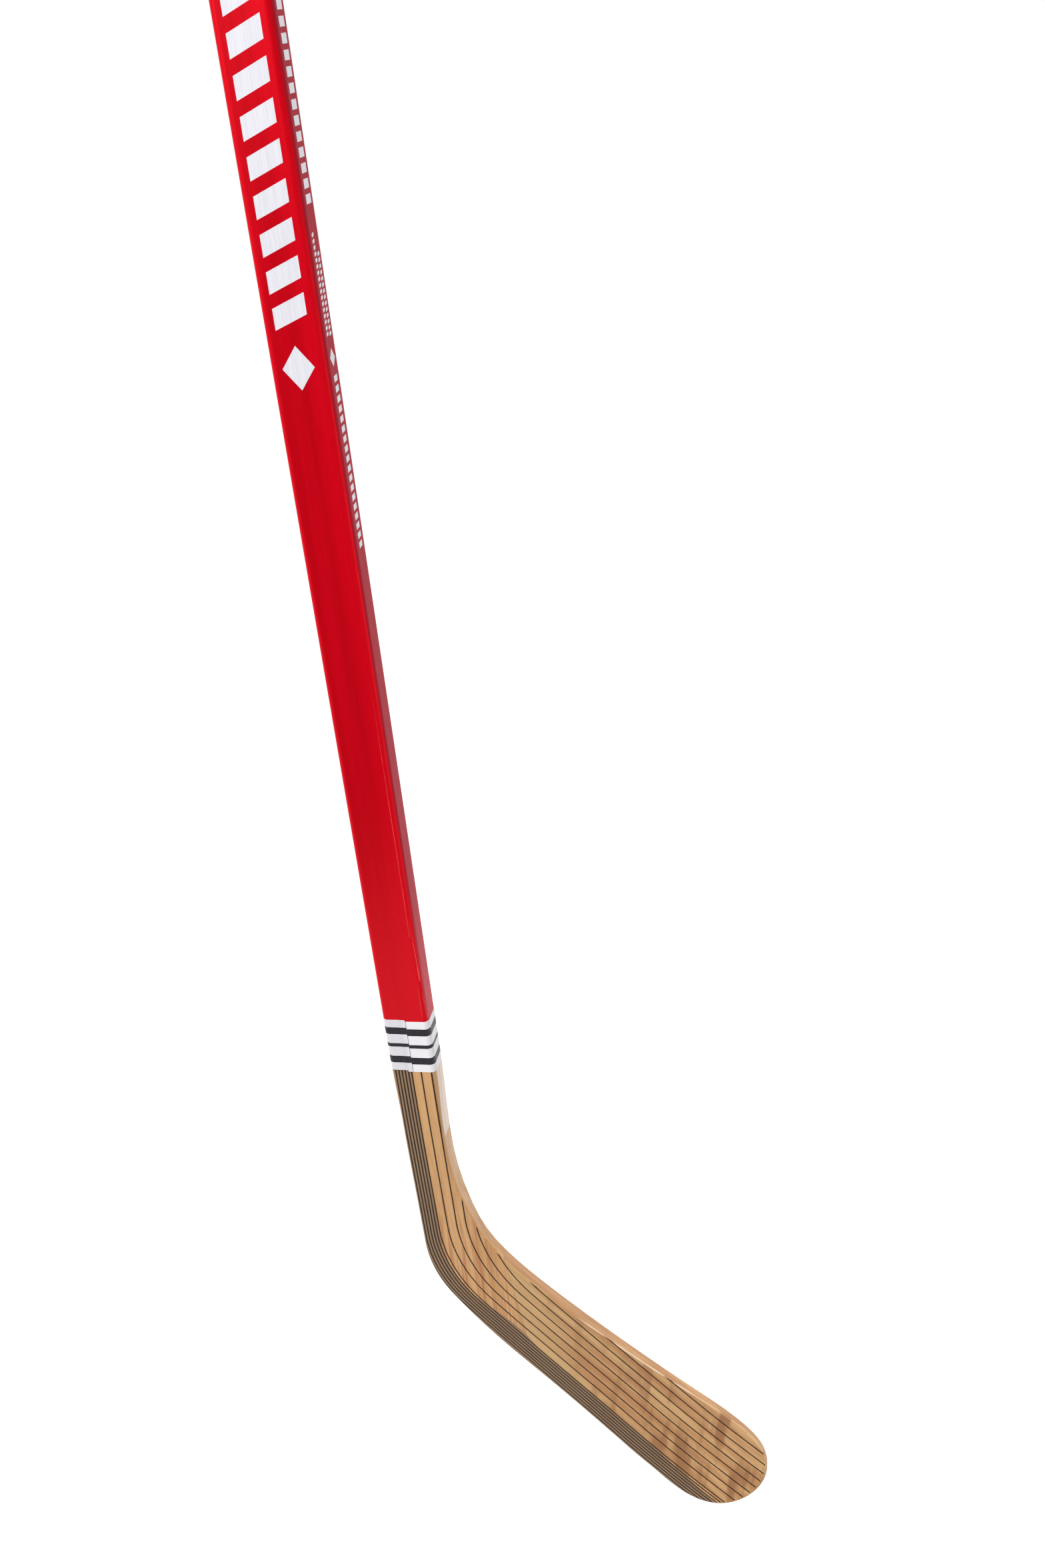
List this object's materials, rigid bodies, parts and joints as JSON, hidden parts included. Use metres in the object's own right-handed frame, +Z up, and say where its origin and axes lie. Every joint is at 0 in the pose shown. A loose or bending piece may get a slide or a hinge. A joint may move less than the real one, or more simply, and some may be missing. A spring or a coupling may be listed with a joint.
{
  "type": "ice hockey stick",
  "caption": "Wooden ice hockey stick, left-handed, with a painted shaft, a wrapped label and a curved blade faced with clear sheets and inlaid reinforcing yarns.",
  "frame": {"origin": "heel: the point where the centre line of the shaft meets the line of the sole, in the middle of the stick's thickness", "axes": "+Z up along the shaft towards the butt end, +X towards the side the toe is on, -Y out of the forehand face of shaft and blade"},
  "size_m": [0.2239, 0.0209, 1.6168],
  "materials": {
    "pale_core_wood": "satin sealed wood with fine grain",
    "veneer_wood": "satin sealed wood with straight grain",
    "knee_wood": "satin sealed wood with straight grain",
    "blade_wood": "satin sealed wood with straight grain",
    "resin_sheet": "clear resin sheet over wood, glossy and slightly uneven",
    "dark_yarn": "resin-soaked twisted yarn, dark brown and semi-gloss",
    "red_paint": "glossy red paint over visible wood grain",
    "white_vinyl": "smooth white vinyl film",
    "black_ink": "printed black ink, semi-gloss",
    "white_print": "printed white ink, slightly worn"
  },
  "bodies": {
    "root": {"shaft_strip_heel_side": "pale_core_wood", "shaft_strip_middle": "pale_core_wood", "shaft_strip_toe_side": "pale_core_wood", "shaft_veneer_forehand": "veneer_wood", "shaft_veneer_backhand": "veneer_wood", "knee_block": "knee_wood", "blade_core": "blade_wood", "blade_veneer_forehand": "blade_wood", "blade_veneer_backhand": "blade_wood", "glass_sheet_forehand": "resin_sheet", "glass_sheet_backhand": "resin_sheet", "sole_yarns_forehand": "dark_yarn", "face_yarns_forehand": "dark_yarn", "sole_yarns_backhand": "dark_yarn", "face_yarns_backhand": "dark_yarn", "shaft_paint": "red_paint", "label": "white_vinyl", "label_stripes": "black_ink", "marks_forehand": "white_print", "marks_backhand": "white_print", "marks_side": "white_print"}
  },
  "joints": []
}
